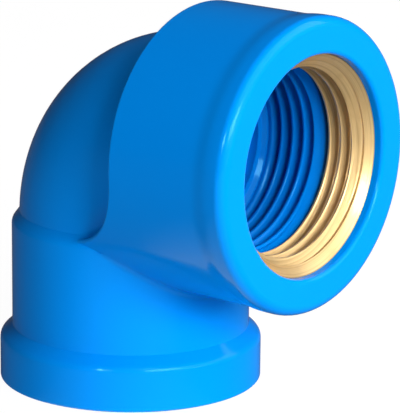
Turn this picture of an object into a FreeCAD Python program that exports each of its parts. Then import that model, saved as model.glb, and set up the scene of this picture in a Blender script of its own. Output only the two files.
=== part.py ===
"""Pressure pipe elbow of 90 degrees: a glued pipe socket below and a threaded mouth at the side.

The blue body is one moulding. A threaded brass ring sits inside its mouth, and the plastic was moulded round it.
The origin is the middle of the socket's mouth. The socket's axis is Z and the thread's axis runs along +X.
All sizes are in millimetres and degrees.
"""
import FreeCAD, Part
import math
import os

from FreeCAD import Vector

# Pipe socket, where the pipe is glued in
PIPE_D = 25.0
GLUE_GAP = 0.05
SOCKET_DEPTH = 19.0
SOCKET_LEAD_IN = 0.4
SOCKET_WALL = 3.15

# Collar round the socket's mouth
COLLAR_WALL = 1.6
COLLAR_TOP_Z = 7.15
COLLAR_SLOPE = 42.0
COLLAR_ROUND = 1.3
BOTTOM_ROUND = 0.2

# Shoulder where the socket's body steps down to the bend
SHOULDER_ABOVE_STOP = 3.45
SHOULDER_SLOPE = 52.0
SHOULDER_ROUND = 1.2
SHOULDER_OVERLAP = 1.0

# Bend between the two ends
STOP_LEDGE = 2.0
BEND_WALL = 4.2
BEND_TIGHTNESS = 0.75
STOP_TO_BEND = 2.875
BEND_TO_THREAD = 1.775

# Thread, 14 turns to the inch, bored here to its crests
THREAD_MAJOR_D = 26.44
THREAD_HEIGHT = 1.16
THREAD_DEPTH = 17.4
THREAD_FOOT_CHAMFER = 0.8

# Cone that leads from the ring to the thread in the plastic
LEAD_LENGTH = 1.9
LEAD_DEPTH = 0.87

# Brass ring inside the mouth
RING_LENGTH = 6.2
RING_WALL = 2.3
RING_MOUTH_STEP = 1.0
RING_FLAT = 0.12
RING_EDGE = 0.2
GROOVE_WIDTH = 1.8
GROOVE_DEPTH = 1.0
FLUTE_COUNT = 24
FLUTE_R = 0.9
FLUTE_DEPTH = 0.5

# Hub, the thick round body that carries the ring
HUB_STEP = 4.06
HUB_LENGTH = 18.3
LIP = 1.36
LIP_ROUND = 0.6
FACE_ROUND = 1.4
CROSSING_ROUND = 1.2

# Slight swelling of the hub behind its face
FLARE = 0.22
FLARE_LENGTH = 3.0
FLARE_BEHIND_FACE = 2.2

# Recess behind the hub, where the bend shows
RECESS_BELOW_SHOULDER = 0.62
RECESS_CORNER_R = 10.0
RECESS_RIM_ROUND = 0.35
RECESS_FOOT_ROUND = 0.8

# Radii that follow from the sizes above
SOCKET_R = PIPE_D / 2 + GLUE_GAP
BODY_R = SOCKET_R + SOCKET_WALL
COLLAR_R = BODY_R + COLLAR_WALL
WATERWAY_R = PIPE_D / 2 - STOP_LEDGE
BEND_R = WATERWAY_R + BEND_WALL
BEND_RADIUS = BEND_R * BEND_TIGHTNESS
BORE_R = THREAD_MAJOR_D / 2 - THREAD_HEIGHT
RING_R = THREAD_MAJOR_D / 2 + RING_WALL
MOUTH_R = THREAD_MAJOR_D / 2 + RING_MOUTH_STEP
HUB_R = BEND_R + HUB_STEP

# Places that follow from the sizes above
BEND_Z = SOCKET_DEPTH + STOP_TO_BEND
AXIS_Z = BEND_Z + BEND_RADIUS
THREAD_FOOT_X = BEND_RADIUS + BEND_TO_THREAD
FACE_X = THREAD_FOOT_X + THREAD_DEPTH
RING_FRONT_X = FACE_X - LIP
RING_BACK_X = RING_FRONT_X - RING_LENGTH
HUB_BACK_X = FACE_X - HUB_LENGTH
FLARE_END_X = FACE_X - FLARE_BEHIND_FACE
FLARE_START_X = FLARE_END_X - FLARE_LENGTH
SHOULDER_TOP_Z = SOCKET_DEPTH + SHOULDER_ABOVE_STOP
RECESS_FLOOR_Z = SHOULDER_TOP_Z - RECESS_BELOW_SHOULDER

# Room that a cutting shape takes past the faces it cuts
OVERCUT = 5.0
NEAR = 1e-3

X, Y, Z = Vector(1, 0, 0), Vector(0, 1, 0), Vector(0, 0, 1)


def turned_on_z(points):
    """Solid of revolution about Z from (radius, height) corners."""
    corners = [Vector(r, 0, h) for r, h in points]
    return Part.Face(Part.makePolygon(corners + corners[:1])).revolve(Vector(0, 0, 0), Z, 360)


def laid_on_hub(solid):
    """Turns a solid made about Z onto the hub's axis."""
    solid.rotate(Vector(0, 0, 0), Y, 90)
    solid.translate(Vector(0, 0, AXIS_Z))
    return solid


def turned_on_hub(points):
    """Solid of revolution about the hub's axis from (radius, x) corners."""
    return laid_on_hub(turned_on_z(points))


def middle(edge):
    """Point halfway along an edge."""
    return edge.valueAt((edge.FirstParameter + edge.LastParameter) / 2)


def rings(solid, radius, centre):
    """Circular edges of one radius round one centre."""
    def off(point):
        return abs((point - centre).Length - radius)
    return [e for e in solid.Edges if max(off(middle(e)), off(e.valueAt(e.FirstParameter))) < NEAR]


def socket_body():
    """Outside of the socket: collar, straight body and shoulder, filled in."""
    collar_corner_z = COLLAR_TOP_Z - COLLAR_WALL * math.tan(math.radians(COLLAR_SLOPE))
    rise = math.tan(math.radians(SHOULDER_SLOPE))
    shoulder_corner_z = SHOULDER_TOP_Z - (BODY_R - BEND_R) * rise
    hidden_r = BEND_R - SHOULDER_OVERLAP
    hidden_z = SHOULDER_TOP_Z + SHOULDER_OVERLAP * rise
    solid = turned_on_z([
        (0, 0), (COLLAR_R, 0), (COLLAR_R, collar_corner_z), (BODY_R, COLLAR_TOP_Z),
        (BODY_R, shoulder_corner_z), (hidden_r, hidden_z), (0, hidden_z),
    ])
    for radius, height, round_r in (
        (COLLAR_R, collar_corner_z, COLLAR_ROUND),
        (COLLAR_R, 0, BOTTOM_ROUND),
        (BODY_R, shoulder_corner_z, SHOULDER_ROUND),
    ):
        solid = solid.makeFillet(round_r, rings(solid, radius, Vector(0, 0, height)))
    return solid


def recess_side():
    """Prism along Y that holds the thick part of the elbow: the recess lies above and behind it."""
    far_x, high_z = FACE_X + OVERCUT, AXIS_Z + HUB_R + OVERCUT
    corner_x, corner_z = HUB_BACK_X - RECESS_CORNER_R, RECESS_FLOOR_Z + RECESS_CORNER_R
    half = RECESS_CORNER_R * math.sqrt(0.5)
    arc_top, arc_foot = Vector(HUB_BACK_X, 0, corner_z), Vector(corner_x, 0, RECESS_FLOOR_Z)
    corners = [
        arc_foot, Vector(0, 0, RECESS_FLOOR_Z), Vector(0, 0, 0),
        Vector(far_x, 0, 0), Vector(far_x, 0, high_z), Vector(HUB_BACK_X, 0, high_z), arc_top,
    ]
    arc = Part.Arc(arc_top, Vector(corner_x + half, 0, corner_z - half), arc_foot).toShape()
    outline = Part.Wire([arc] + Part.makePolygon(corners).Edges)
    width = 2 * (HUB_R + OVERCUT)
    prism = Part.Face(outline).extrude(Y * width)
    prism.translate(Y * (-width / 2))
    return prism


def flared_hub():
    """The hub as a turned bar, with the slight swelling behind its rounded face."""
    rim_r = HUB_R + FLARE
    bow_r = (FLARE_LENGTH ** 2 + FLARE ** 2) / (4 * FLARE)
    quarter = math.asin(FLARE_LENGTH / 2 / bow_r) / 2
    sag, run = bow_r * (1 - math.cos(quarter)), bow_r * math.sin(quarter)
    foot, top = Vector(HUB_R, 0, FLARE_START_X), Vector(rim_r, 0, FLARE_END_X)
    halfway = (foot + top) / 2
    bows = [Part.Arc(foot, foot + Vector(sag, 0, run), halfway), Part.Arc(halfway, top - Vector(sag, 0, run), top)]
    corners = [top, Vector(rim_r, 0, FACE_X), Vector(0, 0, FACE_X), Vector(0, 0, 0), Vector(HUB_R, 0, 0), foot]
    rest = Part.makePolygon(corners)
    outline = Part.Wire([bow.toShape() for bow in bows] + rest.Edges)
    hub = laid_on_hub(Part.Face(outline).revolve(Vector(0, 0, 0), Z, 360))
    return hub.makeFillet(FACE_ROUND, rings(hub, rim_r, Vector(FACE_X, 0, AXIS_Z)))


def hub_body():
    """Outside of the hub, from its soft front edge to the rim of the recess, filled in."""
    hub = flared_hub().common(recess_side())

    def on_rim(edge):
        """Tests for an edge between the hub's round side and the recess."""
        p = middle(edge)
        on_side = abs(math.hypot(p.y, p.z - AXIS_Z) - HUB_R) < NEAR
        return on_side and NEAR < p.x < HUB_BACK_X + NEAR and p.z > RECESS_FLOOR_Z - NEAR

    return hub.makeFillet(RECESS_RIM_ROUND, [e for e in hub.Edges if on_rim(e)])


def crossing():
    """Soft inner corner under the hub, where its round side meets the socket's body."""
    post = Part.makeCylinder(BODY_R, AXIS_Z)
    hub = turned_on_hub([(0, 0), (HUB_R, 0), (HUB_R, FLARE_START_X), (0, FLARE_START_X)])
    both = post.fuse(hub)

    def at_crossing(edge):
        """Tests for an edge that lies on both round sides, under the hub."""
        p = middle(edge)
        on_post = abs(math.hypot(p.x, p.y) - BODY_R) < NEAR
        return on_post and abs(math.hypot(p.y, p.z - AXIS_Z) - HUB_R) < NEAR and p.x > NEAR

    soft = both.makeFillet(CROSSING_ROUND, [e for e in both.Edges if at_crossing(e)])
    top_z = SHOULDER_TOP_Z - (BODY_R - BEND_R) * math.tan(math.radians(SHOULDER_SLOPE)) - SHOULDER_ROUND / 2
    room = Part.makeBox(FLARE_START_X, 2 * HUB_R, top_z - COLLAR_TOP_Z, Vector(0, -HUB_R, COLLAR_TOP_Z))
    return soft.common(room)


def quarter_bend(radius):
    """Quarter of a turned tube of that radius, from the socket's axis round to the hub's."""
    if radius < BEND_RADIUS:
        section = Part.Wire(Part.makeCircle(radius, Vector(0, 0, BEND_Z), Z))
    else:
        half = math.sqrt(radius ** 2 - BEND_RADIUS ** 2)
        near_side, far_side = Vector(BEND_RADIUS, -half, BEND_Z), Vector(BEND_RADIUS, half, BEND_Z)
        arc = Part.Arc(near_side, Vector(-radius, 0, BEND_Z), far_side).toShape()
        section = Part.Wire([arc, Part.makeLine(far_side, near_side)])
    return Part.Face(section).revolve(Vector(BEND_RADIUS, 0, BEND_Z), Y, 90)


def off_bend(p):
    """Distance of a point from the bend's centre line."""
    if p.x > BEND_RADIUS:
        return math.hypot(p.y, p.z - AXIS_Z)
    return math.hypot(p.y, math.hypot(p.x - BEND_RADIUS, p.z - BEND_Z) - BEND_RADIUS)


def outside():
    """The whole outer form, filled in, with the rounds where its parts run together."""
    neck = turned_on_hub([(0, BEND_RADIUS), (BEND_R, BEND_RADIUS), (BEND_R, FACE_X - LIP), (0, FACE_X - LIP)])
    solid = socket_body().fuse([hub_body(), quarter_bend(BEND_R), neck, crossing()]).removeSplitter()

    def at_foot(edge):
        """Tests for an edge between the bend and the wall of the recess."""
        p = middle(edge)
        to_corner = math.hypot(p.x - (HUB_BACK_X - RECESS_CORNER_R), p.z - (RECESS_FLOOR_Z + RECESS_CORNER_R))
        on_wall = abs(p.x - HUB_BACK_X) < NEAR or abs(to_corner - RECESS_CORNER_R) < NEAR
        return on_wall and abs(off_bend(p) - BEND_R) < NEAR

    return solid.makeFillet(RECESS_FOOT_ROUND, [e for e in solid.Edges if at_foot(e)])


def waterway():
    """Everything that is open inside: socket, curved waterway, thread bore and lip."""
    socket = turned_on_z([
        (0, -OVERCUT), (SOCKET_R + SOCKET_LEAD_IN + OVERCUT, -OVERCUT),
        (SOCKET_R, SOCKET_LEAD_IN), (SOCKET_R, SOCKET_DEPTH), (0, SOCKET_DEPTH),
    ])
    riser = turned_on_z([
        (0, SOCKET_DEPTH / 2), (WATERWAY_R, SOCKET_DEPTH / 2), (WATERWAY_R, BEND_Z), (0, BEND_Z),
    ])
    bore = turned_on_hub([
        (0, BEND_RADIUS), (WATERWAY_R, BEND_RADIUS), (WATERWAY_R, THREAD_FOOT_X),
        (BORE_R - THREAD_FOOT_CHAMFER, THREAD_FOOT_X), (BORE_R, THREAD_FOOT_X + THREAD_FOOT_CHAMFER),
        (BORE_R, RING_BACK_X - LEAD_LENGTH), (BORE_R + LEAD_DEPTH, RING_BACK_X),
        (MOUTH_R, RING_FRONT_X), (MOUTH_R, FACE_X + OVERCUT), (0, FACE_X + OVERCUT),
    ])
    return socket.fuse([riser, quarter_bend(WATERWAY_R), bore])


def ring_blank():
    """The brass ring before it is bored: two fluted bands with a groove between them."""
    groove_x = (RING_BACK_X + RING_FRONT_X - GROOVE_WIDTH) / 2
    blank = turned_on_hub([
        (0, RING_BACK_X), (RING_R, RING_BACK_X), (RING_R, groove_x), (RING_R - GROOVE_DEPTH, groove_x),
        (RING_R - GROOVE_DEPTH, groove_x + GROOVE_WIDTH), (RING_R, groove_x + GROOVE_WIDTH),
        (RING_R, RING_FRONT_X), (0, RING_FRONT_X),
    ])
    flute = Part.makeCylinder(FLUTE_R, RING_LENGTH + 2 * OVERCUT, Vector(RING_BACK_X - OVERCUT, 0, 0), X)
    flute.translate(Z * (AXIS_Z + RING_R + FLUTE_R - FLUTE_DEPTH))
    flutes = []
    for count in range(FLUTE_COUNT):
        copy = flute.copy()
        copy.rotate(Vector(0, 0, AXIS_Z), X, 360 * count / FLUTE_COUNT)
        flutes.append(copy)
    return blank.cut(flutes)


def brass_insert():
    """Threaded ring with a wide countersink at its mouth."""
    sink = MOUTH_R - RING_FLAT - BORE_R
    bore = turned_on_hub([
        (0, RING_BACK_X - OVERCUT), (BORE_R + RING_EDGE + OVERCUT, RING_BACK_X - OVERCUT),
        (BORE_R, RING_BACK_X + RING_EDGE), (BORE_R, RING_FRONT_X - sink),
        (BORE_R + sink + OVERCUT, RING_FRONT_X + OVERCUT), (0, RING_FRONT_X + OVERCUT),
    ])
    return ring_blank().cut(bore)


def elbow_body():
    """The moulding: outer form, less the waterway and the seat that the ring fills."""
    solid = outside().cut([ring_blank(), waterway()])
    return solid.makeFillet(LIP_ROUND, rings(solid, MOUTH_R, Vector(FACE_X, 0, AXIS_Z)))


def save(name, shape):
    """Writes one piece to its own file, as a single solid."""
    solid = shape.Solids[0]
    print(name, "valid", solid.isValid(), "solids", len(shape.Solids), "volume", round(solid.Volume, 1))
    solid.exportStep(os.path.join("parts", name + ".step"))


os.makedirs("parts", exist_ok=True)
save("elbow_body", elbow_body())
save("brass_insert", brass_insert())
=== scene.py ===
"""Looks of the pressure elbow: one blue moulding with a threaded brass ring in its mouth.

The solids are bored plain, at the thread's crests. This script cuts the turns of the thread into a copy of
each solid, gives the plastic and the brass their finishes, and sets the elbow in soft light on a pale floor.
Lengths are in metres, in the frame of the solids: Z is the socket's axis and +X the thread's.
"""
import logging
import math
from dataclasses import dataclass
from enum import Enum

import bmesh
import bpy
from mathutils import Matrix, Vector


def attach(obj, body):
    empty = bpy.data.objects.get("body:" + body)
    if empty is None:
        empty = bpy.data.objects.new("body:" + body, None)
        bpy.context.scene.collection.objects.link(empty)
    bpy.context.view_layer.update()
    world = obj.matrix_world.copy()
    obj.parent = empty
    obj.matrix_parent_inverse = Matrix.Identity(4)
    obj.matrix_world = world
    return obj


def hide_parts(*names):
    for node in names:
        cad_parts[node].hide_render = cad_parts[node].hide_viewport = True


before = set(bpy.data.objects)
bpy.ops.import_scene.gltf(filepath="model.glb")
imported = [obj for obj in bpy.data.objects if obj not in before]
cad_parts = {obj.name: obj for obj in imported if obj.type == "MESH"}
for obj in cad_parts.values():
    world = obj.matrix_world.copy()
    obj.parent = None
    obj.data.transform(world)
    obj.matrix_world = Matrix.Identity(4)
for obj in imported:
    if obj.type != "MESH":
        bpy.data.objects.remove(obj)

log = logging.getLogger("elbow")

MM = 0.001
INCH = 25.4 * MM

# Height of the thread's axis, and the point in the elbow that the lamps face
AXIS_Z = 32.9 * MM
AIM = Vector((0.012, 0.0, 0.025))

# Points of a mesh nearer than this are one: along a rolled grid's seam, and in a solid's loose triangles
SEAM_GAP = 0.0001 * MM
WELD_GAP = 0.0005 * MM

# Masks of the surface grain with the detail of each one's noise, and the noise's roughness
GRAIN_DETAIL = {"Broad": 2.0, "Fine": 4.0}
GRAIN_ROUGHNESS = 0.55

# Places of the colour sockets on a Mix node, whose names are shared with its other kinds
MIX_SHARE, MIX_FIRST, MIX_SECOND, MIX_COLOUR = 0, 6, 7, 2

# A colour's red, green, blue and cover, and the two ends of a range
Colour = tuple[float, float, float, float]
Span = tuple[float, float]

WHITE: Colour = (1.0, 1.0, 1.0, 1.0)


def direction(turn: float, tilt: float) -> Vector:
    """Unit vector away from the elbow.

    Args:
        turn: Direction round the elbow, in degrees from -Y towards +X.
        tilt: Height above the floor, in degrees.

    Returns:
        The vector.
    """
    turn, tilt = math.radians(turn), math.radians(tilt)
    return Vector((math.sin(turn) * math.cos(tilt), -math.cos(turn) * math.cos(tilt), math.sin(tilt)))


class Finish(Enum):
    """Finishes that the record names, by its slot names."""

    PLASTIC = "blue_pvc"
    BRASS = "brass"


class Ray(Enum):
    """Kinds of ray that see the pale backdrop, by their names on the Light Path node."""

    CAMERA = "Is Camera Ray"
    GLOSSY = "Is Glossy Ray"
    TRANSMISSION = "Is Transmission Ray"


class Shown(Enum):
    """How the elbow shows a lamp."""

    BOTH = "both"
    LIGHT = "light only"
    MIRROR = "reflection only"


class Graph:
    """A node tree with short ways to add and join its nodes."""

    def __init__(self, tree: bpy.types.NodeTree) -> None:
        """Takes the tree.

        Args:
            tree: Node tree to build in.
        """
        self.tree = tree

    def node(self, kind: str, **settings: object) -> bpy.types.Node:
        """Adds a node.

        Args:
            kind: Blender's name of the node's type.
            settings: Values of the node's own properties.

        Returns:
            The new node.
        """
        made = self.tree.nodes.new(kind)
        for name, value in settings.items():
            setattr(made, name, value)
        return made

    def feed(self, socket: bpy.types.NodeSocket, source: object) -> None:
        """Joins an output to a socket, or sets the socket's own value.

        Args:
            socket: Input that takes the source.
            source: An output socket, or a plain value.
        """
        if isinstance(source, bpy.types.NodeSocket):
            self.tree.links.new(source, socket)
        else:
            socket.default_value = source

    def maths(self, operation: str, first: object, second: object = 0.0) -> bpy.types.NodeSocket:
        """Adds a Math node.

        Args:
            operation: Its operation.
            first: First value or output.
            second: Second value or output.

        Returns:
            The result.
        """
        made = self.node("ShaderNodeMath", operation=operation)
        self.feed(made.inputs[0], first)
        self.feed(made.inputs[1], second)
        return made.outputs[0]

    def spread(self, value: object, source: Span, target: Span = (0.0, 1.0)) -> bpy.types.NodeSocket:
        """Maps one range of values onto another and holds the ends.

        Args:
            value: Value or output to map.
            source: Start and end of the range it comes from.
            target: Value at the start and at the end.

        Returns:
            The mapped value.
        """
        made = self.node("ShaderNodeMapRange")
        self.feed(made.inputs["Value"], value)
        self.feed(made.inputs["From Min"], source[0])
        self.feed(made.inputs["From Max"], source[1])
        self.feed(made.inputs["To Min"], target[0])
        self.feed(made.inputs["To Max"], target[1])
        return made.outputs["Result"]

    def blend(self, share: object, first: object, second: object) -> bpy.types.NodeSocket:
        """Blends two colours.

        Args:
            share: How much of the second is taken, from 0 to 1.
            first: First colour.
            second: Second colour.

        Returns:
            The blended colour.
        """
        made = self.node("ShaderNodeMix", data_type="RGBA", blend_type="MIX")
        self.feed(made.inputs[MIX_SHARE], share)
        self.feed(made.inputs[MIX_FIRST], first)
        self.feed(made.inputs[MIX_SECOND], second)
        return made.outputs[MIX_COLOUR]

    def along(self, way: bpy.types.NodeSocket, side: object) -> bpy.types.NodeSocket:
        """How near one direction lies to another.

        Args:
            way: Direction to measure, of length 1.
            side: Fixed direction, of length 1.

        Returns:
            The nearness, from -1 to 1.
        """
        made = self.node("ShaderNodeVectorMath", operation="DOT_PRODUCT")
        self.feed(made.inputs[0], way)
        self.feed(made.inputs[1], side)
        return made.outputs["Value"]

    def place(self) -> bpy.types.Node:
        """Splits the place on the piece into X, Y and Z.

        Returns:
            The node whose outputs are X, Y and Z.
        """
        made = self.node("ShaderNodeSeparateXYZ")
        self.feed(made.inputs["Vector"], self.node("ShaderNodeTexCoord").outputs["Object"])
        return made

    def grain(self, broad_scale: float, fine_scale: float) -> bpy.types.Node:
        """Adds the shared surface grain.

        Args:
            broad_scale: Scale of the broad unevenness.
            fine_scale: Scale of the fine grain.

        Returns:
            The node whose outputs are the two masks.
        """
        made = self.node("ShaderNodeGroup")
        made.node_tree = grain_group()
        self.feed(made.inputs["Broad Scale"], broad_scale)
        self.feed(made.inputs["Fine Scale"], fine_scale)
        return made

    def bump(self, height: object, distance: float, strength: float) -> bpy.types.NodeSocket:
        """Adds a bump.

        Args:
            height: Height of the surface, as a share of the distance.
            distance: Height that stands for a share of 1, in metres.
            strength: How much of it is shown.

        Returns:
            The bumped normal.
        """
        made = self.node("ShaderNodeBump")
        self.feed(made.inputs["Distance"], distance)
        self.feed(made.inputs["Strength"], strength)
        self.feed(made.inputs["Height"], height)
        return made.outputs["Normal"]


def grain_group() -> bpy.types.NodeTree:
    """Shared surface effect: broad unevenness and fine grain, as two masks.

    Returns:
        The node group.
    """
    name = "surface grain"
    if name in bpy.data.node_groups:
        return bpy.data.node_groups[name]
    tree = bpy.data.node_groups.new(name, "ShaderNodeTree")
    for mask in GRAIN_DETAIL:
        tree.interface.new_socket(mask + " Scale", in_out="INPUT", socket_type="NodeSocketFloat")
        tree.interface.new_socket(mask, in_out="OUTPUT", socket_type="NodeSocketFloat")
    graph = Graph(tree)
    entry = graph.node("NodeGroupInput")
    leave = graph.node("NodeGroupOutput")
    place = graph.node("ShaderNodeTexCoord").outputs["Object"]
    for mask, detail in GRAIN_DETAIL.items():
        noise = graph.node("ShaderNodeTexNoise")
        graph.feed(noise.inputs["Vector"], place)
        graph.feed(noise.inputs["Scale"], entry.outputs[mask + " Scale"])
        noise.inputs["Detail"].default_value = detail
        noise.inputs["Roughness"].default_value = GRAIN_ROUGHNESS
        graph.feed(leave.inputs[mask], noise.outputs["Fac"])
    return tree


@dataclass(frozen=True)
class GlossyPlastic:
    """Blue moulded plastic with a fine gloss.

    Args:
        colour: Colour of the plastic.
        shade: Colour where the plastic is a little denser.
        painted_bore_shade: Painted shade: darker colour inside the bore, near the ring, for the shade that
            falls there.
        painted_foot_shade: Painted shade: darkest colour inside the bore, at the thread's foot.
        painted_joint_shadow: Painted shadow: near-black colour of the fine line where the plastic meets the
            ring, for the shadow in the joint.
        gloss_roughness: Roughness of the clean surface.
        dull_roughness: Roughness where it is rubbed.
        rubbed: Range of the broad mask over which the surface turns dull.
        broad_scale: Scale of the moulding's broad unevenness.
        fine_scale: Scale of its fine grain.
        fine_share: How high the fine grain stands beside the broad unevenness.
        bump: Height of the unevenness, in metres.
        bump_strength: How much of that height is shown.
        ior: Index of refraction.
        specular: Strength of the mirror image.
        specular_tint: Colour of the mirror image.
        bore_shade_edge: Distances from the thread's axis between which the bore's painted shade ends.
        foot_x: Places on the thread's axis between which the bore's painted shade sets in.
        bore_shade_x: Places between which the painted shade changes from its darkest at the foot to its
            lighter colour near the ring.
        joint_shadow_x: Places between which the painted shadow line sets in.
    """

    colour: Colour = (0.0, 0.275, 0.90, 1.0)
    shade: Colour = (0.0, 0.265, 0.88, 1.0)
    # Painted shade: the next two colours darken the plastic inside the threaded bore, darkest at the thread's
    # foot.
    painted_bore_shade: Colour = (0.0, 0.22, 0.76, 1.0)
    painted_foot_shade: Colour = (0.0, 0.125, 0.47, 1.0)
    # Painted shadow: near-black line where the plastic meets the ring's back.
    painted_joint_shadow: Colour = (0.0, 0.03, 0.09, 1.0)
    gloss_roughness: float = 0.10
    dull_roughness: float = 0.16
    rubbed: Span = (0.35, 0.7)
    broad_scale: float = 90.0
    fine_scale: float = 1800.0
    fine_share: float = 0.08
    bump: float = 0.02 * MM
    bump_strength: float = 0.25
    ior: float = 1.5
    specular: float = 0.2
    specular_tint: Colour = (0.2, 0.75, 1.0, 1.0)
    # Painted shade: where the bore's darker colours end towards the outside, set in along the axis, and
    # change from the foot to the ring.
    bore_shade_edge: Span = (13.3 * MM, 13.5 * MM)
    foot_x: Span = (11.5 * MM, 13.0 * MM)
    bore_shade_x: Span = (16.0 * MM, 21.5 * MM)
    # Painted shadow: where the dark line at the ring's back begins.
    joint_shadow_x: Span = (22.0 * MM, 22.25 * MM)

    def tint(self, graph: Graph, broad: bpy.types.NodeSocket) -> bpy.types.NodeSocket:
        """Colour of the plastic: even outside; inside the threaded bore, painted shade that grows darker
        towards the thread's foot, and a near-black painted shadow line beside the ring.

        Args:
            graph: Graph to build in.
            broad: Mask of the broad unevenness.

        Returns:
            The colour.
        """
        place = graph.place()
        across = graph.maths("POWER", place.outputs["Y"], 2.0)
        up = graph.maths("POWER", graph.maths("SUBTRACT", place.outputs["Z"], AXIS_Z), 2.0)
        from_axis = graph.maths("SQRT", graph.maths("ADD", across, up))
        near = graph.spread(from_axis, self.bore_shade_edge, (1.0, 0.0))
        # Painted shade: mask of the threaded bore, whose plastic gets darker colours for the shade inside it.
        bore = graph.maths("MULTIPLY", near, graph.spread(place.outputs["X"], self.foot_x))
        # Painted shadow: mask of the thin line at the ring's back.
        joint_shadow_mask = graph.maths("MULTIPLY", near, graph.spread(place.outputs["X"], self.joint_shadow_x))
        outside = graph.blend(broad, self.colour, self.shade)
        # Painted shade: darkest blue at the thread's foot, changing to a less dark blue near the ring.
        inside = graph.blend(graph.spread(place.outputs["X"], self.bore_shade_x), self.painted_foot_shade, self.painted_bore_shade)
        return graph.blend(joint_shadow_mask, graph.blend(bore, outside, inside), self.painted_joint_shadow)

    def material(self) -> bpy.types.Material:
        """Builds the material.

        Returns:
            The material.
        """
        made = bpy.data.materials.new("blue moulded plastic")
        made.use_nodes = True
        graph = Graph(made.node_tree)
        skin = made.node_tree.nodes["Principled BSDF"]
        grain = graph.grain(self.broad_scale, self.fine_scale)
        broad, fine = grain.outputs["Broad"], grain.outputs["Fine"]
        graph.feed(skin.inputs["Base Color"], self.tint(graph, broad))
        roughness = graph.spread(broad, self.rubbed, (self.gloss_roughness, self.dull_roughness))
        graph.feed(skin.inputs["Roughness"], roughness)
        height = graph.maths("ADD", broad, graph.maths("MULTIPLY", fine, self.fine_share))
        graph.feed(skin.inputs["Normal"], graph.bump(height, self.bump, self.bump_strength))
        skin.inputs["IOR"].default_value = self.ior
        skin.inputs["Specular IOR Level"].default_value = self.specular
        skin.inputs["Specular Tint"].default_value = self.specular_tint
        return made


@dataclass(frozen=True)
class TurnedBrass:
    """Dull brass with the fine rings that the lathe leaves round the thread's axis.

    Args:
        colour: Colour of the clean metal.
        stain: Colour of the thin brown tarnish.
        metallic: Share of bare metal; the rest is a thin dull film.
        roughness: Roughness of the clean metal.
        stain_roughness: How much rougher full tarnish is.
        stained: Range of the broad mask over which the tarnish sets in.
        stain_share: How much of the tarnish shows there, from 0 to 1.
        marked: Range of the turning marks over which tarnish stays in them.
        mark_share: How much of the tarnish stays in the marks, from 0 to 1.
        mark_spacing: Distance between two turning marks, in metres.
        mark_detail: Detail of the turning marks' noise.
        broad_scale: Scale of the tarnish's patches.
        fine_scale: Scale of the fine grain.
        bump: Height of the turning marks and the grain, in metres.
        bump_strength: How much of that height is shown.
    """

    colour: Colour = (0.78, 0.55, 0.255, 1.0)
    stain: Colour = (0.50, 0.31, 0.12, 1.0)
    metallic: float = 0.66
    roughness: float = 0.35
    stain_roughness: float = 0.25
    stained: Span = (0.45, 0.75)
    stain_share: float = 0.55
    marked: Span = (0.42, 0.62)
    mark_share: float = 0.6
    mark_spacing: float = 0.2 * MM
    mark_detail: float = 1.0
    broad_scale: float = 240.0
    fine_scale: float = 2600.0
    bump: float = 0.024 * MM
    bump_strength: float = 0.6

    def marks(self, graph: Graph) -> bpy.types.NodeSocket:
        """Uneven rings round the thread's axis.

        Args:
            graph: Graph to build in.

        Returns:
            The mask of the rings.
        """
        noise = graph.node("ShaderNodeTexNoise", noise_dimensions="1D")
        graph.feed(noise.inputs["W"], graph.place().outputs["X"])
        noise.inputs["Scale"].default_value = 1.0 / self.mark_spacing
        noise.inputs["Detail"].default_value = self.mark_detail
        return noise.outputs["Fac"]

    def material(self) -> bpy.types.Material:
        """Builds the material.

        Returns:
            The material.
        """
        made = bpy.data.materials.new("turned brass")
        made.use_nodes = True
        graph = Graph(made.node_tree)
        skin = made.node_tree.nodes["Principled BSDF"]
        grain = graph.grain(self.broad_scale, self.fine_scale)
        marks = self.marks(graph)
        tarnish = graph.spread(grain.outputs["Broad"], self.stained, (0.0, self.stain_share))
        streaks = graph.spread(marks, self.marked, (0.0, self.mark_share))
        colour = graph.blend(graph.maths("MAXIMUM", tarnish, streaks), self.colour, self.stain)
        graph.feed(skin.inputs["Base Color"], colour)
        skin.inputs["Metallic"].default_value = self.metallic
        rougher = graph.maths("MULTIPLY", tarnish, self.stain_roughness)
        graph.feed(skin.inputs["Roughness"], graph.maths("ADD", self.roughness, rougher))
        height = graph.maths("ADD", marks, grain.outputs["Fine"])
        graph.feed(skin.inputs["Normal"], graph.bump(height, self.bump, self.bump_strength))
        return made


@dataclass(frozen=True)
class PipeThread:
    """Cross section of an inner pipe thread with rounded crests and roots.

    Args:
        pitch: Distance between two turns, 14 to the inch.
        crest_r: Radius at the crests.
        root_r: Radius at the bottom of the groove.
        flank: Angle of each flank to the radius, in degrees.
        rounding: Radius of the rounded crests and roots, in turns.
    """

    pitch: float = INCH / 14
    crest_r: float = 12.06 * MM
    root_r: float = 13.22 * MM
    flank: float = 27.5
    rounding: float = 0.1373

    def radius(self, offset: float) -> float:
        """Radius of the thread beside the middle of its groove.

        Args:
            offset: Distance from the groove's middle along the axis, in turns.

        Returns:
            The radius.
        """
        round_r = self.rounding * self.pitch
        lean = math.radians(90 - self.flank)
        reach, sag = round_r * math.sin(lean), round_r * (1 - math.cos(lean))
        from_root = abs(offset - round(offset)) * self.pitch
        from_crest = self.pitch / 2 - from_root
        if from_root < reach:
            return self.root_r - round_r + math.sqrt(round_r ** 2 - from_root ** 2)
        if from_crest < reach:
            return self.crest_r + round_r - math.sqrt(round_r ** 2 - from_crest ** 2)
        share = (from_crest - reach) / (self.pitch / 2 - 2 * reach)
        return self.crest_r + sag + share * (self.root_r - self.crest_r - 2 * sag)


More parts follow.
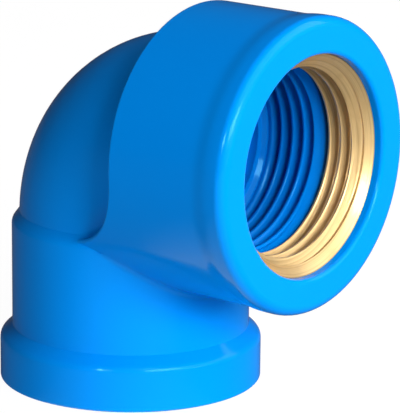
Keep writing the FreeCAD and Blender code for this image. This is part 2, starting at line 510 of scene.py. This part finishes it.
@dataclass(frozen=True)
class ThreadedBore:
    """The open room inside a threaded piece, as a closed solid about an axis along X.

    Args:
        outline: (place on the axis, radius) of the plain bore, in order along the axis.
        phase: Place on the axis where the groove's middle crosses the top of the bore.
        first: Place on the axis where the groove begins to grow, far off for a groove that is full all along.
        last: Place on the axis where it has run out, far off too.
        fade: Length over which the groove grows and runs out.
        soft: How softly the groove's edge runs into a cone.
        soft_share: Most that this may be, as a share of the cone's height over the crests.
        axis_z: Height of the axis.
        step: Distance between two rows of faces along the axis.
        sides: Faces to each turn.
    """

    outline: tuple[Span, ...]
    phase: float
    first: float = -1.0
    last: float = 1.0
    fade: float = 1.0 * MM
    soft: float = 0.12 * MM
    soft_share: float = 0.3
    axis_z: float = AXIS_Z
    step: float = 0.045 * MM
    sides: int = 240

    def plain(self, place: float) -> float:
        """Radius of the plain bore.

        Args:
            place: Place on the axis.

        Returns:
            The radius.
        """
        for (x_0, r_0), (x_1, r_1) in zip(self.outline, self.outline[1:]):
            if place <= x_1:
                return r_0 + (r_1 - r_0) * (place - x_0) / (x_1 - x_0)
        return self.outline[-1][1]

    def radius(self, place: float, turn: float, thread: PipeThread) -> float:
        """Radius of the bore with its groove.

        Args:
            place: Place on the axis.
            turn: Angle about the axis from the top, in turns.
            thread: Thread that the groove belongs to.

        Returns:
            The radius.
        """
        grown = min(max(min(place - self.first, self.last - place) / self.fade, 0.0), 1.0)
        groove = thread.radius((place - self.phase) / thread.pitch - turn) - thread.crest_r
        plain, cut = self.plain(place), thread.crest_r + groove * grown
        soft = min(self.soft, self.soft_share * max(plain - thread.crest_r, 0.0))
        return (plain + cut + math.hypot(plain - cut, soft)) / 2

    def cutter(self, thread: PipeThread) -> bpy.types.Object:
        """Rolls a fine grid up into the bore's wall and closes its ends.

        The grid is 1 long and 1 wide: its length becomes the way along the axis, its width the turn about it.

        Args:
            thread: Thread to put into the wall.

        Returns:
            The cutter, as an object of its own.
        """
        start, end = self.outline[0][0], self.outline[-1][0]
        work = bmesh.new()
        rows = round((end - start) / self.step)
        bmesh.ops.create_grid(work, x_segments=rows, y_segments=self.sides, size=0.5)
        for vert in work.verts:
            place = start + (vert.co.x + 0.5) * (end - start)
            turn = vert.co.y + 0.5
            radius = self.radius(place, turn, thread)
            angle = 2 * math.pi * turn
            vert.co = (place, -radius * math.sin(angle), self.axis_z + radius * math.cos(angle))
        bmesh.ops.remove_doubles(work, verts=work.verts, dist=SEAM_GAP)
        bmesh.ops.holes_fill(work, edges=[edge for edge in work.edges if edge.is_boundary], sides=0)
        bmesh.ops.recalc_face_normals(work, faces=work.faces)
        mesh = bpy.data.meshes.new("bore")
        work.to_mesh(mesh)
        work.free()
        return bpy.data.objects.new("bore", mesh)


@dataclass
class ThreadedPiece:
    """A piece that keeps the form of its solid and takes the turns of the thread.

    Args:
        node: Name of the solid.
        name: Name of the piece in the scene.
        finish: Its finish.
        bore: Open room inside it.
        crease: Angle past which an edge stays sharp, in degrees.
    """

    node: str
    name: str
    finish: Finish
    bore: ThreadedBore
    crease: float = 32.0

    def copy_of_solid(self) -> bpy.types.Object:
        """Copies the solid's mesh and closes it.

        Returns:
            The new object.
        """
        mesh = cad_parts[self.node].data.copy()
        mesh.name = self.name
        for spare in [a for a in mesh.attributes if a.name == "custom_normal"]:
            mesh.attributes.remove(spare)
        work = bmesh.new()
        work.from_mesh(mesh)
        bmesh.ops.remove_doubles(work, verts=work.verts, dist=WELD_GAP)
        work.to_mesh(mesh)
        work.free()
        piece = bpy.data.objects.new(self.name, mesh)
        bpy.context.scene.collection.objects.link(piece)
        return piece

    def cut(self, piece: bpy.types.Object, cutter: bpy.types.Object) -> None:
        """Cuts the bore and keeps the result in the piece's own mesh.

        Args:
            piece: Piece to cut.
            cutter: Solid to take away.
        """
        bpy.context.scene.collection.objects.link(cutter)
        step = piece.modifiers.new("bore", "BOOLEAN")
        step.operation = "DIFFERENCE"
        step.solver = "MANIFOLD"
        step.object = cutter
        ready = piece.evaluated_get(bpy.context.evaluated_depsgraph_get())
        mesh = bpy.data.meshes.new_from_object(ready)
        piece.modifiers.remove(step)
        old, piece.data = piece.data, mesh
        mesh.name = self.name
        bpy.data.meshes.remove(old)
        bpy.data.objects.remove(cutter)

    def smooth(self, piece: bpy.types.Object) -> None:
        """Shades the piece smooth up to its creases and weighs its normals by the size of its faces.

        Args:
            piece: Piece to shade.
        """
        piece.data.shade_smooth()
        piece.data.set_sharp_from_angle(angle=math.radians(self.crease))
        weigh = piece.modifiers.new("weighted normals", "WEIGHTED_NORMAL")
        weigh.keep_sharp = True

    def build(self, thread: PipeThread, finishes: dict[Finish, bpy.types.Material]) -> bpy.types.Object:
        """Makes the piece, dresses it and sets it in place of its solid.

        Args:
            thread: Thread to cut.
            finishes: Material of each finish.

        Returns:
            The finished piece.
        """
        piece = self.copy_of_solid()
        self.cut(piece, self.bore.cutter(thread))
        self.smooth(piece)
        piece.data.materials.clear()
        piece.data.materials.append(finishes[self.finish])
        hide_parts(self.node)
        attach(piece, "root")
        log.info("%s: %d faces, open edges %d", self.name, len(piece.data.polygons), open_edges(piece.data))
        return piece


def open_edges(mesh: bpy.types.Mesh) -> int:
    """Counts the edges that don't have two faces.

    Args:
        mesh: Mesh to look at.

    Returns:
        The count.
    """
    work = bmesh.new()
    work.from_mesh(mesh)
    count = sum(1 for edge in work.edges if len(edge.link_faces) != 2)
    work.free()
    return count


@dataclass
class Elbow:
    """The whole fitting.

    Args:
        thread: Thread of the brass ring and of the plastic behind it.
        skim: How far the finished bore lies outside the plain one of the solids.
        foot_x: Where the plastic's bore begins, on the thread's axis.
        ring_x: Where the ring begins.
        face_x: Where the ring ends.
        lead_length: Length of the cone in the plastic behind the ring.
        lead_depth: How much wider that cone is at the ring.
        sink: Depth of the countersink at the ring's mouth.
        edge: Small chamfer at the ring's back.
        ring_phase: Where the brass groove crosses the top of the bore.
        body_phase: Where the groove in the plastic crosses it.
        foot_land: How far past its beginning the plastic's bore is as wide as the crests.
        run_out: How far before the ring the groove in the plastic has run out.
        over: How far a bore reaches past its piece.
    """

    thread: PipeThread = PipeThread()
    skim: float = 0.01 * MM
    foot_x: float = 13.6 * MM
    ring_x: float = 22.64 * MM
    face_x: float = 28.84 * MM
    lead_length: float = 1.9 * MM
    lead_depth: float = 0.87 * MM
    sink: float = 2.04 * MM
    edge: float = 0.2 * MM
    ring_phase: float = 20.9 * MM
    body_phase: float = 13.156 * MM
    foot_land: float = 0.1 * MM
    run_out: float = 1.3 * MM
    over: float = 0.3 * MM

    def body_bore(self) -> ThreadedBore:
        """Bore of the plastic, from the thread's foot to the ring's back.

        Returns:
            The bore.
        """
        bore_r = self.thread.crest_r + self.skim
        steep = self.lead_depth / self.lead_length
        outline = (
            (self.foot_x - self.over, bore_r - 2 * self.over),
            (self.foot_x + self.foot_land, bore_r),
            (self.ring_x - self.lead_length, bore_r),
            (self.ring_x + self.over, bore_r + self.lead_depth + self.over * steep),
        )
        return ThreadedBore(outline, self.body_phase, first=self.foot_x, last=self.ring_x - self.run_out)

    def ring_bore(self) -> ThreadedBore:
        """Bore of the ring, with its countersink.

        Returns:
            The bore.
        """
        bore_r = self.thread.crest_r + self.skim
        outline = (
            (self.ring_x - self.over, bore_r + self.edge + self.over),
            (self.ring_x + self.edge, bore_r),
            (self.face_x - self.sink, bore_r),
            (self.face_x + self.over, bore_r + self.sink + self.over),
        )
        return ThreadedBore(outline, self.ring_phase)

    def build(self) -> list[bpy.types.Object]:
        """Builds and dresses each piece.

        Returns:
            The pieces.
        """
        finishes = {Finish.PLASTIC: GlossyPlastic().material(), Finish.BRASS: TurnedBrass().material()}
        pieces = (
            ThreadedPiece("elbow_body", "moulded_elbow", Finish.PLASTIC, self.body_bore()),
            ThreadedPiece("brass_insert", "brass_ring", Finish.BRASS, self.ring_bore()),
        )
        return [piece.build(self.thread, finishes) for piece in pieces]


@dataclass(frozen=True)
class Lamp:
    """A soft flat lamp that faces the elbow.

    Args:
        name: Name of the lamp.
        turn: Direction round the elbow, in degrees from -Y towards +X.
        tilt: Height above the floor, in degrees.
        size: Width and height.
        level: How bright it makes a white surface that faces it.
        shown: Whether the elbow shows its light, its reflection or both.
        away: Distance from the elbow.
    """

    name: str
    turn: float
    tilt: float
    size: Span
    level: float
    shown: Shown = Shown.BOTH
    away: float = 1.0

    def build(self) -> None:
        """Adds the lamp to the scene."""
        data = bpy.data.lights.new(self.name, "AREA")
        data.shape = "RECTANGLE"
        data.size, data.size_y = self.size
        data.energy = self.level * (math.pi * self.away) ** 2
        lamp = bpy.data.objects.new(self.name, data)
        lamp.visible_glossy = self.shown is not Shown.LIGHT
        lamp.visible_diffuse = self.shown is not Shown.MIRROR
        bpy.context.scene.collection.objects.link(lamp)
        out = direction(self.turn, self.tilt)
        lamp.location = AIM + out * self.away
        lamp.rotation_mode = "QUATERNION"
        lamp.rotation_quaternion = out.to_track_quat("Z", "Y")


@dataclass(frozen=True)
class PhotoCamera:
    """Camera that stands where the photograph was taken from.

    Args:
        turn: Direction round the elbow, in degrees from -Y towards +X.
        tilt: Height above the floor, in degrees.
        roll: How far it leans to its side, in degrees.
        aim: Point that it looks at.
        away: Distance from that point.
        lens: Focal length, in millimetres.
        sensor: Width of the film, in millimetres.
        clip: Nearest and farthest distance that it shows.
    """

    turn: float = 38.779
    tilt: float = 14.534
    roll: float = 0.574
    aim: tuple[float, float, float] = (11.583 * MM, 0.032 * MM, 24.731 * MM)
    away: float = 377.13 * MM
    lens: float = 254.93
    sensor: float = 36.0
    clip: Span = (0.01, 10.0)

    def build(self) -> None:
        """Adds the camera to the scene."""
        data = bpy.data.cameras.new("camera")
        data.sensor_width = self.sensor
        data.lens = self.lens
        data.clip_start, data.clip_end = self.clip
        camera = bpy.data.objects.new("camera", data)
        bpy.context.scene.collection.objects.link(camera)
        back = direction(self.turn, self.tilt)
        turn, roll = math.radians(self.turn), math.radians(self.roll)
        level = Vector((math.cos(turn), math.sin(turn), 0.0))
        up = back.cross(level)
        right = level * math.cos(roll) + up * math.sin(roll)
        over = up * math.cos(roll) - level * math.sin(roll)
        place = Matrix.Translation(Vector(self.aim) + back * self.away)
        camera.matrix_world = place @ Matrix((right, over, back)).transposed().to_4x4()
        bpy.context.scene.camera = camera


@dataclass
class Studio:
    """Pale floor, soft lights and the camera of the photograph.

    Args:
        floor_r: Radius of the floor.
        floor_sides: Sides of the floor's round edge.
        floor_colour: Colour of the floor.
        floor_roughness: Roughness of the floor.
        floor_shadow: How much of the floor's own shading the camera sees.
        glow_turn: Direction of the floor's bright part, in degrees from -Y towards +X.
        glow_edge: Nearness to that direction at which the bright part begins, and at which it is full.
        glow: Level of the floor's dark and bright part, as the elbow receives it.
        shine_turn: Direction of the part that glossy surfaces see bright.
        shine_edge: Nearness to that direction at which the part begins, and at which it is full.
        shine: Level of the floor's dark and bright part, as glossy surfaces see it.
        room: Level of the room.
        shown: Level of the room's dark and bright side, as glossy surfaces see it.
        shown_side: Direction of the bright side.
        shown_edge: Nearness to that direction at which the side begins, and at which it is full.
        white: Level of the floor that the camera sees, before the floor's own shading.
        lamps: The lamps.
        camera: The camera.
    """

    floor_r: float = 3.0
    floor_sides: int = 96
    floor_colour: Colour = (0.85, 0.85, 0.85, 1.0)
    floor_roughness: float = 0.6
    floor_shadow: float = 0.12
    glow_turn: float = 8.0
    glow_edge: Span = (0.15, 0.8)
    glow: Span = (0.05, 0.62)
    shine_turn: float = 36.0
    shine_edge: Span = (0.68, 0.93)
    shine: Span = (0.05, 1.2)
    room: float = 0.04
    shown: Span = (0.04, 0.80)
    shown_side: tuple[float, float, float] = (0.965, -0.10, 0.24)
    shown_edge: Span = (0.35, 0.92)
    white: float = 1.08
    lamps: tuple[Lamp, ...] = (
        Lamp("key lamp", 94.0, 7.0, (0.60, 0.26), 0.64, Shown.LIGHT),
        Lamp("broad lamp", 69.0, 20.0, (0.50, 0.24), 0.72),
        Lamp("front lamp", 15.0, 12.0, (0.30, 0.30), 0.09, Shown.LIGHT),
        Lamp("small lamp", 15.0, 22.0, (0.13, 0.13), 0.30, Shown.MIRROR),
        Lamp("top lamp", 106.0, 42.0, (1.80, 0.80), 0.84),
    )
    camera: PhotoCamera = PhotoCamera()

    def world(self) -> None:
        """Sets the room's even light, and the white that the camera sees behind the elbow."""
        world = bpy.data.worlds.new("studio")
        bpy.context.scene.world = world
        world.use_nodes = True
        graph = Graph(world.node_tree)
        air = world.node_tree.nodes["Background"]
        path = graph.node("ShaderNodeLightPath")
        air.inputs["Color"].default_value = WHITE
        way = graph.node("ShaderNodeTexCoord").outputs["Generated"]
        shown = graph.spread(graph.along(way, self.shown_side), self.shown_edge, self.shown)
        shown = graph.maths("MULTIPLY", shown, path.outputs[Ray.GLOSSY.value])
        room = graph.maths("MAXIMUM", shown, self.room)
        graph.feed(air.inputs["Strength"], graph.maths("MAXIMUM", room, path.outputs[Ray.CAMERA.value]))

    def floor_light(self, graph: Graph) -> bpy.types.NodeSocket:
        """Level of the floor: white to the camera, and bright on one side of the elbow to everything else.

        Args:
            graph: Graph to build in.

        Returns:
            The level.
        """
        outwards = graph.node("ShaderNodeVectorMath", operation="NORMALIZE")
        graph.feed(outwards.inputs[0], graph.node("ShaderNodeTexCoord").outputs["Object"])
        way = outwards.outputs["Vector"]
        path = graph.node("ShaderNodeLightPath")
        glossy = graph.maths("MAXIMUM", path.outputs[Ray.GLOSSY.value], path.outputs[Ray.TRANSMISSION.value])
        plain = graph.maths("SUBTRACT", 1.0, glossy)
        glow = graph.spread(graph.along(way, direction(self.glow_turn, 0.0)), self.glow_edge, self.glow)
        shine = graph.spread(graph.along(way, direction(self.shine_turn, 0.0)), self.shine_edge, self.shine)
        lit = graph.maths("ADD", graph.maths("MULTIPLY", glow, plain), graph.maths("MULTIPLY", shine, glossy))
        seen = graph.maths("MULTIPLY", path.outputs[Ray.CAMERA.value], self.white)
        return graph.maths("MAXIMUM", lit, seen)

    def floor_material(self) -> bpy.types.Material:
        """Builds the floor's material: its own light, with a little of its own shading.

        Returns:
            The material.
        """
        made = bpy.data.materials.new("pale floor")
        made.use_nodes = True
        graph = Graph(made.node_tree)
        skin = made.node_tree.nodes["Principled BSDF"]
        skin.inputs["Base Color"].default_value = self.floor_colour
        skin.inputs["Roughness"].default_value = self.floor_roughness
        glow = graph.node("ShaderNodeEmission")
        graph.feed(glow.inputs["Strength"], self.floor_light(graph))
        mix = graph.node("ShaderNodeMixShader")
        mix.inputs[0].default_value = 1.0 - self.floor_shadow
        graph.feed(mix.inputs[1], skin.outputs[0])
        graph.feed(mix.inputs[2], glow.outputs[0])
        graph.feed(made.node_tree.nodes["Material Output"].inputs["Surface"], mix.outputs[0])
        return made

    def floor(self) -> None:
        """Makes the floor, white to the camera but for the soft shadow under the elbow."""
        work = bmesh.new()
        bmesh.ops.create_circle(work, cap_ends=True, segments=self.floor_sides, radius=self.floor_r)
        mesh = bpy.data.meshes.new("floor")
        work.to_mesh(mesh)
        work.free()
        mesh.materials.append(self.floor_material())
        floor = bpy.data.objects.new("floor", mesh)
        bpy.context.scene.collection.objects.link(floor)

    def build(self) -> None:
        """Builds the floor, the lights and the camera."""
        self.world()
        self.floor()
        for lamp in self.lamps:
            lamp.build()
        self.camera.build()
        bpy.context.scene.view_settings.view_transform = "Standard"
        log.info("studio: floor, lamps and camera set")


def main() -> None:
    """Builds the elbow and its studio."""
    logging.basicConfig(level=logging.INFO, format="%(name)s %(message)s")
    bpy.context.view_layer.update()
    Elbow().build()
    Studio().build()


if __name__ == "__main__":
    main()
